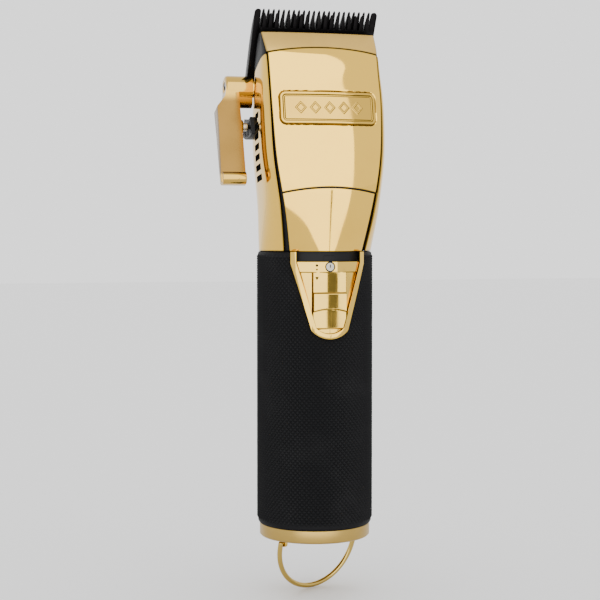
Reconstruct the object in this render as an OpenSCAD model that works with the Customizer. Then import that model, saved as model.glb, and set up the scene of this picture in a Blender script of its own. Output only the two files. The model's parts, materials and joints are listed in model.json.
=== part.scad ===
// Cordless hair clipper with a round knurled grip, a two-plate front, a side taper lever and a hanging bail.
// Frame: +Z up towards the teeth, -Y is the front with the power slider, +X is the right hand side seen from
// the front. The origin is the centre of the end cap's flat underside. Millimetres.

/* [Grip] */
// Height of the top of the grip, where the head starts
grip_top = 101.3; // [97:0.1:122]
// Radius of the grip over the knurl
grip_r = 20.7; // [20.3:0.1:25]
// Wall of the grip sleeve
grip_wall = 1.6; // [1:0.1:2.2]
// Height of the metal band of the end cap
cap_h = 4.6; // [3.6:0.1:6]

/* [Head] */
// Length of the head, from the top of the grip to the tips of the teeth
head_len = 84.2; // [80:0.1:102]
// Half width of the head where it is widest
head_half_w = 22.2; // [21.9:0.1:25]
// Depth of the head in front of the grip's axis, at the crease
head_front = 22.4; // [21.6:0.1:25]
// Depth of the head behind the grip's axis
head_back = 19.7; // [19.2:0.1:22]
// Wall of the metal head shells
shell_wall = 1.8; // [1.4:0.1:2.2]

/* [Blades] */
// Lean of the blade plane from upright, in degrees
blade_lean = 31; // [29:0.5:33]
// Width of the fixed blade over its two outer teeth
blade_w = 44.4; // [43:0.1:48]
// Width of each outer tooth
ear_w = 2.2; // [1.8:0.1:2.6]
// Number of fine teeth on the fixed blade
fixed_teeth = 22; // [16:1:28]
// Number of teeth on the moving blade
moving_teeth = 18; // [12:1:24]
// Sideways travel of the moving blade each way from its middle
stroke = 1.1; // [0.8:0.1:1.4]

/* [Lever] */
// Outer radius of the lever's hub
hub_r = 4.45; // [4.2:0.05:5]
// Lever length, from its pivot to the end of its thumb roll
lever_len = 36.4; // [31:0.1:42]
// Angle of the closed lever forward of straight down, in degrees
lever_rest = 19; // [14:1:24]
// Throw of the eccentric pin that shifts the moving blade
cam_throw = 2.4; // [1.6:0.1:2.4]

/* [Bail] */
// Radius of the hanging bail's half circle
bail_r = 16.6; // [14.5:0.1:16.8]
// Diameter of the bail's wire
bail_wire = 1.8; // [1.4:0.1:2]
// Length of the bail's straight legs
bail_leg = 1.6; // [0.5:0.1:4]
// Turn of the bail's pivot line about the clipper's axis, in degrees
bail_turn = 22.7; // [0:0.1:45]
// Swing of the bail out of the upright plane as it hangs, in degrees
bail_swing = 13; // [0:1:20]

/* [Inside] */
// Radius of the battery cell
cell_r = 9.2; // [7:0.1:9.3]
// Length of the battery cell
cell_len = 65; // [54:0.5:65]
// Radius of the motor can
motor_r = 12; // [10.5:0.1:13]
// Radius of the charging socket's bore
socket_r = 2.75; // [2:0.05:3.2]

/* [Hidden] */
$fn = 96;

gap = 0.1;                            // clearance between pieces that are fitted together
run = 0.05;                           // radial clearance of a turning fit
eps = 0.01;

// Head surface: stations up the head, as fractions of the shell's height
shell_h = head_len - 15;              // from the top of the grip to the top edge of the front plate
neck_r = grip_r - 0.8;
s_f  = [0, 0.1, 0.2, 0.3, 0.46, 0.63, 0.79, 0.9, 1, 1.11];
s_w  = [0, 0.13, 0.26, 0.43, 0.87, 1, 0.87, 0.65, 0.5, 0.4];            // share of the widening
s_yf = [0, 0.4, 0.76, 1, 0.84, 0.33, -0.72, -1.8, -2.96, -6];           // share of the front's bulge
s_ym = [0, -1, -2.2, -3, -4, -4, -3.5, -2, -1, -1];                     // where the section is widest
s_nf = [2, 2.6, 3.3, 3.8, 4, 4, 4.2, 4.6, 5, 5];                        // squareness of the front half
s_nb = [2, 2.1, 2.2, 2.4, 2.6, 2.6, 2.6, 2.6, 2.6, 2.6];                // squareness of the rear half
s_sx = [0.709, 0.752, 0.795, 0.836, 0.868, 0.885, 0.905, 0.925, 0.943, 0.95]; // seam, share of the half width

// Catmull-Rom through a station list, at fraction f
function knot(f) = min(len(s_f) - 2, max([for (i = [0:len(s_f) - 2]) f >= s_f[i] ? i : 0]));
function slope(l, i) = (l[min(i + 1, len(l) - 1)] - l[max(i - 1, 0)])
                     / (s_f[min(i + 1, len(l) - 1)] - s_f[max(i - 1, 0)]);
function at(l, f) = let (i = knot(f), w = s_f[i + 1] - s_f[i], u = (f - s_f[i]) / w)
    (2 * u ^ 3 - 3 * u ^ 2 + 1) * l[i] + (u ^ 3 - 2 * u ^ 2 + u) * w * slope(l, i)
    + (3 * u ^ 2 - 2 * u ^ 3) * l[i + 1] + (u ^ 3 - u ^ 2) * w * slope(l, i + 1);
function frac(z) = (z - grip_top) / shell_h;
function half_w(z) = neck_r + (head_half_w - neck_r) * at(s_w, frac(z));
function front_y(z) = -neck_r - (head_front - neck_r) * at(s_yf, frac(z));
function back_y(z) = neck_r + (head_back - neck_r) * min(1, max(0, frac(z) * 3));
function mid_y(z) = at(s_ym, frac(z));
// A point of the head's skin, inset by d. Angle t is 0 at +X, 90 at the back and 270 at the front.
function bent(c, n) = sign(c) * abs(c) ^ (2 / n);
function skin(z, t, d) =
    let (rear = sin(t) >= 0, n = at(rear ? s_nb : s_nf, frac(z)), ym = mid_y(z),
         b = (rear ? back_y(z) - ym : ym - front_y(z)) - d)
    [(half_w(z) - d) * bent(cos(t), n), ym + b * bent(sin(t), n), z];
// Angle from the side to the seam between the rear housing and the front plates, with the seam opened by g
function seam(z, g) = acos(min(1, (at(s_sx, frac(z)) + g / half_w(z)) ^ (at(s_nf, frac(z)) / 2)));

// A closed shell from two grids of points, outside and inside, rows going up and columns anticlockwise
module shell(outer, inner) {
    rows = len(outer);
    cols = len(outer[0]);
    n = rows * cols;
    function id(i, j, k) = k * n + i * cols + j;
    function quad(a, b, c, d) = [[a, b, c], [a, c, d]];
    faces = [
        for (i = [0:rows - 2], j = [0:cols - 2])
            each quad(id(i, j, 0), id(i + 1, j, 0), id(i + 1, j + 1, 0), id(i, j + 1, 0)),
        for (i = [0:rows - 2], j = [0:cols - 2])
            each quad(id(i, j, 1), id(i, j + 1, 1), id(i + 1, j + 1, 1), id(i + 1, j, 1)),
        for (i = [0:rows - 2]) each quad(id(i, 0, 0), id(i, 0, 1), id(i + 1, 0, 1), id(i + 1, 0, 0)),
        for (i = [0:rows - 2])
            each quad(id(i, cols - 1, 0), id(i + 1, cols - 1, 0), id(i + 1, cols - 1, 1), id(i, cols - 1, 1)),
        for (j = [0:cols - 2]) each quad(id(0, j, 0), id(0, j + 1, 0), id(0, j + 1, 1), id(0, j, 1)),
        for (j = [0:cols - 2])
            each quad(id(rows - 1, j, 0), id(rows - 1, j, 1), id(rows - 1, j + 1, 1), id(rows - 1, j + 1, 0))];
    polyhedron([for (g = [outer, inner], r = g) each r], faces);
}

// Blade frame: x across, +y from heel to tips, +z from the skin side to the inside. Its origin is at the tips.
tip_z = grip_top + head_len;
tip_y = -3.2;
blade_len = 33;
fixed_t = 3.4;
moving_t = 1.7;
slide_gap = 0.03;                     // oil film between the two blades
module in_blade_frame() {
    translate([0, tip_y, tip_z]) rotate([90 + blade_lean, 0, 0]) children();
}
// Row frame [y, z] of the blade frame's point, v down from the tips and w inwards
function from_blade(v, w) = [tip_y + v * sin(blade_lean) - w * cos(blade_lean),
                             tip_z - v * cos(blade_lean) - w * sin(blade_lean)];

// Lever pivot, in the row frame and in the blade frame
pivot_y = 5;
pivot_z = tip_z - 27.1;
pivot_v = (pivot_y - tip_y) * sin(blade_lean) + (tip_z - pivot_z) * cos(blade_lean);
pivot_w = -(pivot_y - tip_y) * cos(blade_lean) + (tip_z - pivot_z) * sin(blade_lean);
shaft_r = 2.4;
bush_r = 3.15;
hub_end = -31.6;
arm_in = -27.2;
arm_out = -35.2;
side_x = -half_w(pivot_z);            // outside of the head at the pivot
track_r0 = 11.2;
track_r1 = 17.8;
track_x = -head_half_w - 1.3;         // face of the detent plate
lever_throw = 36;
module at_pivot(x) { translate([x, pivot_y, pivot_z]) rotate([0, 90, 0]) children(); }

// Heights inside the grip
core_r = grip_r - grip_wall - gap;    // outside of the grip core
core_wall = 1.6;
core_in = core_r - core_wall;
spigot_r = neck_r - shell_wall - 0.9; // the core's upper end, inside the head
cell_z = cap_h + 10.4;
cell_y = 4;
board_y = -11.6;
board_t = 1.2;
motor_z = grip_top + 3.7;
motor_h = 31;
motor_top = motor_z + motor_h;
bezel_r = grip_r + 0.7;               // face of the bezel
slider_r = grip_r - 0.5;              // face of the power slider
bezel_low = grip_top - 30;            // lowest point of the bezel
slider_travel = 3;

gold = [0.86, 0.7, 0.42];
satin_gold = [0.78, 0.68, 0.48];
black = [0.06, 0.06, 0.06];
steel = [0.7, 0.7, 0.72];

// ---------- end cap, socket and bail ----------
cap_r = neck_r - 0.3;
spigot_h = 5.5;
cap_screw_ring = 14.2;
module end_cap() color(gold) difference() {
    union() {
        rotate_extrude() polygon([[0, 0], [cap_r - 0.5, 0], [cap_r, 0.5], [cap_r, cap_h - gap], [0, cap_h - gap]]);
        cylinder(r = core_in - gap, h = cap_h + spigot_h);
    }
    translate([0, 0, cap_h]) cylinder(r = core_in - gap - 1.8, h = spigot_h + eps);
    translate([0, 0, -eps]) cylinder(r = socket_body_r + gap, h = cap_h + 2 * eps);
    for (a = [45:90:315]) rotate(a + bail_turn) translate([cap_screw_ring, 0, -eps]) {
        cylinder(r = 1.1, h = cap_h + 2 * eps);
        cylinder(r = 2.05, h = 1.4);
    }
}
module cap_screws() color(steel) for (a = [45:90:315]) rotate(a + bail_turn)
    translate([cap_screw_ring, 0, 0]) difference() {
        union() {
            translate([0, 0, 0.2]) cylinder(r = 1.95, h = 1.1);
            translate([0, 0, 1.3]) cylinder(r = 1, h = cell_z - 2.1);
        }
        translate([0, 0, 0.2 - eps]) cylinder(r = 1, h = 0.7, $fn = 6);
    }
socket_body_r = 4.1;
socket_depth = 9;
module charge_socket() color(black) difference() {
    cylinder(r = socket_body_r, h = socket_depth + 1.5);
    translate([0, 0, -eps]) cylinder(r = socket_r, h = socket_depth + eps);
}
lug_z = -1.7;                         // height of the bail's pivot line
lug_out = bail_r - bail_wire / 2 - 0.15;
lug_t = 1.1;
bail_x = 1.2;
bail_y = -0.4;
pin_r = 0.6;
module at_bail() { translate([bail_x, bail_y, lug_z]) rotate(bail_turn) children(); }
module bail_lugs() color(gold) at_bail() for (s = [-1, 1]) difference() {
    union() {
        translate([s * (lug_out - lug_t / 2), 0, 0]) rotate([0, 90, 0])
            cylinder(r = 1.35, h = lug_t, center = true);
        translate([s * (lug_out - lug_t / 2) - lug_t / 2, -1.35, 0]) cube([lug_t, 2.7, -lug_z]);
    }
    translate([s * (lug_out - lug_t / 2), 0, 0]) rotate([0, 90, 0])
        cylinder(r = pin_r + run, h = lug_t + 2, center = true);
}
module hanging_bail() color(gold) at_bail() rotate([bail_swing, 0, 0]) {
    translate([0, 0, -bail_leg]) rotate([90, 0, 0]) rotate([0, 0, 180]) rotate_extrude(angle = 180)
        translate([bail_r, 0]) circle(r = bail_wire / 2);
    for (s = [-1, 1]) {
        translate([s * bail_r, 0, -bail_leg]) cylinder(r = bail_wire / 2, h = bail_leg);
        translate([s * bail_r, 0, 0]) sphere(r = bail_wire / 2);
        translate([s * (bail_r + lug_out - lug_t - 0.4) / 2, 0, 0]) rotate([0, 90, 0])
            cylinder(r = pin_r, h = bail_r - lug_out + lug_t + 0.4, center = true);
    }
}
module base_seal() color(black) translate([0, 0, cap_h]) rotate_extrude()
    translate([core_in - gap + 0.75, 0.6]) circle(r = 0.55);

// ---------- grip ----------
module grip_sleeve() color(black) difference() {
    rotate_extrude() polygon([[core_r + gap, cap_h], [neck_r - 0.2, cap_h], [grip_r - 0.35, cap_h + 2.6],
        [grip_r, cap_h + 5.5], [grip_r, grip_top - 2.6], [grip_r - 0.3, grip_top - 1],
        [neck_r, grip_top - gap], [core_r + gap, grip_top - gap]]);
    front_wedge(gap);
}
module grip_core() color(black) difference() {
    rotate_extrude() polygon([[core_in, cap_h + 1.4], [core_r, cap_h + 1.4], [core_r, grip_top - gap],
        [spigot_r, grip_top - gap], [spigot_r, motor_top], [motor_r + gap, motor_top],
        [motor_r + gap, motor_z], [core_in, motor_z - 3.2]]);
    // slot for the slider's stem and the light of the status lamp
    translate([-1.9, -grip_r, stem_z - 2.2]) cube([3.8, grip_r - motor_r, grip_top - 1.4 - stem_z + 2.2]);
    for (a = [45:90:315]) rotate(a) translate([(spigot_r + motor_r) / 2, 0, motor_top - 6])
        cylinder(r = 0.8, h = 6 + eps);
    for (z = screw_heights) translate([0, spigot_r + 1, z]) rotate([90, 0, 0]) cylinder(r = 1, h = 5);
}
// Outline of the bezel seen from the front: a wedge with a round foot, grown by g
bezel_half = 13.1;
foot_r = 8.7;
wedge_corner = 1.5;
module wedge_2d(g) offset(r = g + wedge_corner) offset(delta = -wedge_corner) {
    polygon([[-bezel_half, grip_top + 4], [-bezel_half, grip_top - 4.1], [-foot_half, foot_z],
             [foot_half, foot_z], [bezel_half, grip_top - 4.1], [bezel_half, grip_top + 4]]);
    intersection() {
        translate([0, foot_z + foot_drop]) circle(r = foot_r);
        translate([-foot_half, foot_z - foot_r]) square([2 * foot_half, foot_r + 1]);
    }
}
foot_half = 6.5;
foot_z = bezel_low + 2.9;
foot_drop = foot_r - 2.9;
module front_wedge(g) rotate([90, 0, 0]) linear_extrude(height = grip_r + 3) wedge_2d(g);
module ring_slice(r0, r1, z0, z1) translate([0, 0, z0]) difference() {
    cylinder(r = r1, h = z1 - z0);
    translate([0, 0, -eps]) cylinder(r = r0, h = z1 - z0 + 2 * eps);
}
module switch_bezel() color(gold) intersection() {
    ring_slice(core_r + gap / 2, bezel_r, bezel_low - 1, grip_top - gap);
    rotate([90, 0, 0]) linear_extrude(height = grip_r + 3) difference() {
        wedge_2d(0);
        wedge_2d(-1.7);
    }
}
stem_z = grip_top - 17;
ridge_z = grip_top - 20;
lens_z = grip_top - 5.2;
lens_r = 1.3;
module power_slider() color(gold) difference() {
    union() {
        intersection() {
            ring_slice(core_r + gap, slider_r, bezel_low, grip_top - slider_travel - 0.5);
            rotate([90, 0, 0]) linear_extrude(height = grip_r + 3) wedge_2d(-1.9);
        }
        intersection() {
            ring_slice(slider_r - 0.5, slider_r + 1.5, ridge_z, ridge_z + 6);
            translate([-6, -grip_r - 3, ridge_z]) cube([12, 10, 6]);
        }
        translate([-1.5, -slider_r + 0.6, stem_z]) cube([3, slider_r - 0.6 + board_y - 2.6, 3]);
    }
    translate([0, -core_r, lens_z]) rotate([90, 0, 0]) cylinder(r = lens_r + run, h = 5, center = true);
    // thumb scoop under the ridge
    translate([0, -slider_r - 6.1, ridge_z - 1.2]) rotate([0, 90, 0]) cylinder(r = 5.2, h = 14, center = true);
}
module status_lens() color([0.9, 0.9, 0.85])
    translate([0, -core_r - gap, lens_z]) rotate([90, 0, 0]) cylinder(r = lens_r, h = slider_r - core_r - 0.1);

// ---------- electrics ----------
module battery_cell() color([0.2, 0.35, 0.6]) translate([0, cell_y, cell_z]) union() {
    cylinder(r = cell_r, h = cell_len);
    translate([0, 0, cell_len - eps]) cylinder(r = 2.8, h = 0.9);
}
plate_t = 2;
module battery_plates() color(black) {
    translate([0, 0, cell_z - 0.4 - plate_t]) difference() {
        cylinder(r = core_in - gap, h = plate_t);
        for (a = [45:90:315]) rotate(a + bail_turn) translate([cap_screw_ring, 0, -1])
            cylinder(r = 1.05, h = plate_t + 2);
    }
    translate([0, 0, cell_z + cell_len + 1.4]) difference() {
        cylinder(r = core_in - gap, h = plate_t);
        translate([-20, board_y - 10 + board_t + 0.6, -1]) cube([40, 10, plate_t + 2]);
    }
}
module battery_tabs() color(steel) for (z = [cell_z - 0.3, cell_z + cell_len + 1])
    translate([-3, cell_y - 4, z]) cube([6, 8, 0.2]);
module circuit_board() color([0.05, 0.3, 0.15]) difference() {
    translate([-9, board_y, cell_z + 15]) cube([18, board_t, grip_top - 4 - cell_z - 15]);
    for (x = [-6.5, 6.5]) translate([x, board_y - 1, cell_z + 18]) rotate([-90, 0, 0])
        cylinder(r = 1.1, h = 4);
}
module slide_switch() color(steel) difference() {
    translate([-4.5, board_y - 3.6, stem_z - 3.5]) cube([9, 3.6 - gap, 13]);
    translate([-1.7, board_y - 3.6 - eps, stem_z - 0.5]) cube([3.4, 2.4, 3 + slider_travel + 1]);
}
module status_led() color([0.95, 0.95, 0.9]) {
    translate([0, board_y - gap, lens_z]) rotate([90, 0, 0]) cylinder(r = 1.2, h = 1.6);
    translate([0, board_y - gap - 1.6, lens_z]) sphere(r = 1.2);
}

// ---------- motor ----------
bearing_r = 3.2;
rotor_shaft_r = 1;
module motor_can() color(steel) translate([0, 0, motor_z]) difference() {
    cylinder(r = motor_r, h = motor_h);
    translate([0, 0, 1.8]) cylinder(r = motor_r - 1.2, h = motor_h - 3.6);
    translate([0, 0, -eps]) cylinder(r = bearing_r + run, h = motor_h + 2 * eps);
    for (a = [0, 180]) rotate(a) translate([7, 0, motor_h - 2]) cylinder(r = 0.8, h = 3);
}
module motor_stator() color([0.72, 0.45, 0.2]) translate([0, 0, motor_z + 4]) difference() {
    cylinder(r = motor_r - 1.3, h = motor_h - 8);
    translate([0, 0, -eps]) cylinder(r = motor_r - 4.8, h = motor_h);
}
module motor_bearings() color(steel) for (z = [motor_z, motor_top - 1.8]) translate([0, 0, z]) difference() {
    cylinder(r = bearing_r, h = 1.8);
    translate([0, 0, -eps]) cylinder(r = rotor_shaft_r + run, h = 3);
}
module motor_rotor() color(steel) {
    translate([0, 0, motor_z - 1]) cylinder(r = rotor_shaft_r, h = motor_h + 10);
    translate([0, 0, motor_z + 3]) cylinder(r = motor_r - 5.2, h = motor_h - 6);
}
hub_top = motor_top + 9.6;
throw_pin_r = 1.2;
throw_pin_h = 7.4;
module eccentric() color(black) difference() {
    union() {
        translate([0, 0, motor_top + 4.4]) cylinder(r = 3.6, h = 5.2);
        translate([0, -stroke, hub_top - eps]) cylinder(r = throw_pin_r, h = throw_pin_h);
    }
    translate([0, 0, motor_top + 4]) cylinder(r = rotor_shaft_r + 0.02, h = 5.1);
}
module motor_bracket() color(black) translate([0, 0, motor_top + gap / 2]) difference() {
    cylinder(r = spigot_r, h = 2.4);
    translate([0, 0, -eps]) cylinder(r = 4, h = 3);
    for (a = [45:90:315]) rotate(a) translate([(spigot_r + motor_r) / 2, 0, -eps]) cylinder(r = 0.9, h = 3);
    for (a = [0, 180]) rotate(a) translate([7, 0, -eps]) cylinder(r = 0.9, h = 3);
}
module bracket_screws() color(steel) {
    for (a = [45:90:315]) rotate(a) translate([(spigot_r + motor_r) / 2, 0, motor_top]) {
        translate([0, 0, 2.5]) cylinder(r = 1.5, h = 1);
        translate([0, 0, -4]) cylinder(r = 0.75, h = 6.6);
    }
    for (a = [0, 180]) rotate(a) translate([7, 0, motor_top]) {
        translate([0, 0, 2.5]) cylinder(r = 1.5, h = 1);
        translate([0, 0, -1.6]) cylinder(r = 0.75, h = 4.2);
    }
}
module motor_leads() color([0.7, 0.1, 0.08]) for (x = [-4, 0, 4])
    translate([x, board_y + board_t + 1.2, grip_top - 16]) cylinder(r = 0.6, h = motor_z - grip_top + 15.8);

// ---------- head shells ----------
crease_z = grip_top + 22.2;
crease_drop = 3;                      // how much lower the crease is at the seams
arch_drop = 2.2;
plate_top = grip_top + shell_h + 0.9;
screw_heights = [grip_top + 8, grip_top + 26];
function across(x, z) = (x / half_w(z)) ^ 2;
function crease_at(x) = crease_z - crease_drop * across(x, crease_z);
function top_at(x) = plate_top - arch_drop * across(x, plate_top);
// Grid of skin points over the front, between two edges given as functions of x
function front_grid(low, high, rows, cols, d, open, sink) = [for (i = [0:rows]) [for (j = [0:cols])
    let (guess = low(0) + (high(0) - low(0)) * i / rows,
         t0 = 180 + seam(guess, -open(guess)), t1 = 360 - seam(guess, -open(guess)),
         t = t0 + (t1 - t0) * j / cols,
         x = skin(guess, t, 0)[0],
         z = low(x) + (high(x) - low(x)) * i / rows)
    skin(z, t, d + sink(z))]];
flat_z = function (z) function (x) z;
seam_open = function (z) 0.9 * (1 - min(1, frac(z) / 0.75)) + 0.12;
no_sink = function (z) 0;
neck_sink = function (z) 0.45 * min(1, frac(z) * 3);
module neck_plate() color(gold) shell(
    front_grid(flat_z(grip_top), function (x) crease_at(x) - 0.15, 8, 26, 0, seam_open, neck_sink),
    front_grid(flat_z(grip_top), function (x) crease_at(x) - 0.15, 8, 26, shell_wall, seam_open, neck_sink));
module front_plate() color(gold) difference() {
    shell(front_grid(function (x) crease_at(x), function (x) top_at(x), 18, 26, 0, seam_open, no_sink),
          front_grid(function (x) crease_at(x), function (x) top_at(x), 18, 26, shell_wall, seam_open, no_sink));
    at_badge() badge_layer(-1.6, 3) rounded(badge_half_w + gap, badge_half_h + gap, 2.2 + gap);
}
// Rear and side shell. Its upper edge falls towards the blade's heel.
heel_z = tip_z - blade_len * cos(blade_lean);
// Height of the plane w below the fixed blade's underside, at depth y
function under_blade(y, w) = tip_z - (y - tip_y) / tan(blade_lean) - w / sin(blade_lean);
// Upper edge of the rear housing, falling from the front corner to the heel of the blade
function rear_top(y) = let (u = max(0, y + 9.7))
    min(plate_top - arch_drop - 0.36 * u - 0.006 * u * u, max(under_blade(y, 2.2), heel_z - 0.8));
// Height where the skin at angle t meets that edge, found in a few rounds
function edge_at(t, z, rounds) = rounds == 0 ? z : edge_at(t, rear_top(skin(z, t, 0)[1]), rounds - 1);
rear_rows = 18;
rear_cols = 44;
function rear_t(z, j) = -seam(z, 0) + (180 + 2 * seam(z, 0)) * j / rear_cols;
function rear_grid(d) = [for (i = [0:rear_rows]) [for (j = [0:rear_cols])
    let (z = grip_top + (edge_at(rear_t(plate_top - 4, j), plate_top - 4, 6) - grip_top) * i / rear_rows)
    skin(z, rear_t(z, j), d)]];
module rear_housing() color(gold) difference() {
    shell(rear_grid(0), rear_grid(shell_wall));
    at_pivot(side_x - 2) cylinder(r = bush_r + gap, h = 6);
    track_sector(track_r0 - gap, track_r1 + gap, track_x - 1, 8, 0.5);
    for (z = screw_heights) translate([0, head_back + 2, z]) rotate([90, 0, 0]) cylinder(r = 1.1, h = 6);
}
module housing_screws() color(steel) for (z = screw_heights) translate([0, 0, z]) rotate([-90, 0, 0]) difference() {
    union() {
        translate([0, 0, neck_r + 0.02]) cylinder(r1 = 2.1, r2 = 1.6, h = 0.75);
        translate([0, 0, spigot_r - 1.6]) cylinder(r = 0.95, h = neck_r - spigot_r + 1.7);
    }
    translate([0, 0, neck_r + 0.3]) cylinder(r = 0.95, h = 1, $fn = 6);
}
// Curved badge plate let into the front plate, lying along the slope of the front
badge_z = grip_top + 49.1;
badge_half_w = 17;
badge_half_h = 5.7;
badge_curve = 90;
badge_lean = atan2(front_y(badge_z + badge_half_h) - front_y(badge_z - badge_half_h), 2 * badge_half_h);
module rounded(w, h, r) {
    square([2 * w, 2 * (h - r)], center = true);
    square([2 * (w - r), 2 * h], center = true);
    for (x = [-1, 1], y = [-1, 1]) translate([x * (w - r), y * (h - r)]) circle(r = r);
}
module at_badge() translate([0, front_y(badge_z), badge_z]) rotate([-badge_lean, 0, 0]) children();
// Outline drawn on the front, taken between two depths counted outwards from the skin
module badge_layer(d0, d1) intersection() {
    rotate([90, 0, 0]) linear_extrude(height = 8, center = true) children();
    translate([0, badge_curve, -10]) difference() {
        cylinder(r = badge_curve + d1, h = 20, $fn = 360);
        translate([0, 0, -1]) cylinder(r = badge_curve + d0, h = 22, $fn = 360);
    }
}
lozenge_h = 2.2;
module lozenges() for (i = [-2:2]) translate([i * 5, 0]) polygon([[-2, 0], [0, -lozenge_h], [2, 0], [0, lozenge_h]]);
module name_plate() color(gold) at_badge() {
    difference() {
        badge_layer(-1, 0.5) rounded(badge_half_w, badge_half_h, 2.2);
        badge_layer(0.1, 3) rounded(badge_half_w - 1, badge_half_h - 1, 1.4);
    }
    badge_layer(0, 0.35) rounded(badge_half_w - 1.6, badge_half_h - 1.6, 1);
    badge_layer(0.2, 0.7) lozenges();
}

// ---------- nose and blades ----------
lip_z = plate_top + 6.1;
// Sloping lip in front of the blades, ending at the corners of the head
lip_cols = 32;
lip_rows = 6;
function lip_end(z) = 30 - 14 * (z - plate_top + arch_drop) / (lip_z - plate_top + arch_drop);
function lip_grid(d) = [for (i = [0:lip_rows]) [for (j = [0:lip_cols])
    let (guess = plate_top + (lip_z - plate_top) * i / lip_rows,
         t = 180 + lip_end(guess) + (180 - 2 * lip_end(guess)) * j / lip_cols,
         low = top_at(skin(plate_top, t, 0)[0]) + 0.15, z = low + (lip_z - low) * i / lip_rows)
    skin(z, t, d)]];
module nose_band() color(satin_gold) shell(lip_grid(0), lip_grid(shell_wall));
// Cheeks between the lip, the rear housing and the blades, one each side
cheek_end = 14;                       // angle past the widest point where the cheeks end
cheek_cols = 12;
cheek_sink = 0.25;
function cheek_high(y) = min(lip_z - 0.3, under_blade(y, 2.2));
function cheek_grid(d) = [for (i = [0:lip_rows]) [for (j = [0:cheek_cols])
    let (t = 180 - cheek_end + (cheek_end + lip_end(plate_top + (lip_z - plate_top) * i / lip_rows) - 0.4)
             * j / cheek_cols,
         low = edge_at(t, plate_top - 4, 6) + 0.25, y = skin(plate_top, t, 0)[1],
         z = low + (max(cheek_high(y), low + 0.3) - low) * i / lip_rows)
    skin(z, t, d)]];
module cheeks() color(black) difference() {
    for (m = [0, 1]) mirror([m, 0, 0]) shell(cheek_grid(cheek_sink), cheek_grid(shell_wall));
    at_pivot(side_x - 2) cylinder(r = bush_r + gap, h = 6);
}
// Lid that closes the rear housing behind the heel of the blades
lid_t = 1.4;
lid_z = heel_z - 2.4;
lid_front = 10.4;
module heel_plate() color(black) translate([0, 0, lid_z]) linear_extrude(height = lid_t) intersection() {
    polygon([for (t = [0:6:180]) let (p = skin(lid_z, t, shell_wall + 0.3)) [p[0], p[1]]]);
    translate([-head_half_w, lid_front]) square([2 * head_half_w, head_back]);
}
// Side view outline in the blade frame, v down from the tips and w inwards, extruded over x0..x1
module blade_slab(pts, x0, x1) in_blade_frame() translate([x0, 0, 0]) rotate([90, 0, 90])
    linear_extrude(height = x1 - x0) polygon([for (p = pts) [-p[0], p[1]]]);
// Outline seen square on to the blade, extruded over w0..w1
module blade_sheet(pts, w0, w1) in_blade_frame() translate([0, 0, w0])
    linear_extrude(height = w1 - w0) polygon([for (p = pts) [p[0], -p[1]]]);
// Comb outline from tooth tips at v0 down to v1, teeth spread over a half width
function comb(half, n, v0, v1, tip_w, root_w, depth) = let (pitch = 2 * half / n) [
    [-half, v1],
    for (i = [0:n - 1]) each let (c = -half + pitch * (i + 0.5)) [
        [max(-half, c - root_w / 2), v0 + depth],
        [c - tip_w / 2, v0 + 0.7], [c - tip_w / 4, v0], [c + tip_w / 4, v0], [c + tip_w / 2, v0 + 0.7],
        [min(half, c + root_w / 2), v0 + depth]],
    [half, v1]];
blade_half = blade_w / 2;
comb_half = blade_half - ear_w;
comb_depth = 7;
blade_screw_x = 15.3;
blade_screw_v = 21;
fixed_pitch = 2 * comb_half / fixed_teeth;
module fixed_blade() color([0.1, 0.1, 0.11]) difference() {
    intersection() {
        blade_slab([[0, 0], [0, -0.35], [3.6, -1.4], [6.6, -2.5], [13.5, -fixed_t], [29, -fixed_t],
                    [blade_len, -2], [blade_len, 0]], -blade_half - 1, blade_half + 1);
        blade_sheet(concat(
            [[-blade_half + 1.6, blade_len], [-blade_half, blade_len - 1.6], [-blade_half, 1], [-blade_half + 0.5, 0.2],
             [-blade_half + 1, 0], [-comb_half - 0.3, 0.2], [-comb_half, 0.8], [-comb_half, comb_depth]],
            comb(comb_half, fixed_teeth, 0, comb_depth, 0.8, fixed_pitch - 0.5, comb_depth),
            [[comb_half, comb_depth], [comb_half, 0.8], [comb_half + 0.3, 0.2], [blade_half - 1, 0],
             [blade_half - 0.5, 0.2], [blade_half, 1], [blade_half, blade_len - 1.6], [blade_half - 1.6, blade_len]]),
            -fixed_t - 1, 1);
    }
    for (s = [-1, 1]) in_blade_frame() translate([s * blade_screw_x, -blade_screw_v, 0]) {
        translate([0, 0, -fixed_t - 1]) cylinder(r = 1.5, h = fixed_t + 2);
        translate([0, 0, -fixed_t - 1]) cylinder(r = 3, h = 2.6);
    }
    in_blade_frame() translate([0, -19, -fixed_t - 1]) cylinder(r = 2.2, h = fixed_t + 2);
}
module blade_screws() color(steel) for (s = [-1, 1])
    in_blade_frame() translate([s * blade_screw_x, -blade_screw_v, 0]) difference() {
        union() {
            translate([0, 0, -fixed_t]) cylinder(r = 2.85, h = 1.5);
            translate([0, 0, -fixed_t + 1.4]) cylinder(r = 1.3, h = 7);
        }
        translate([-0.4, -2, -fixed_t - eps]) cube([0.8, 4, 0.7]);
        translate([-2, -0.4, -fixed_t - eps]) cube([4, 0.8, 0.7]);
    }
moving_half = comb_half - 0.2;
moving_set = 1.3;                     // how far the moving teeth sit behind the fixed tips
tail_half = 11;
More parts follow.
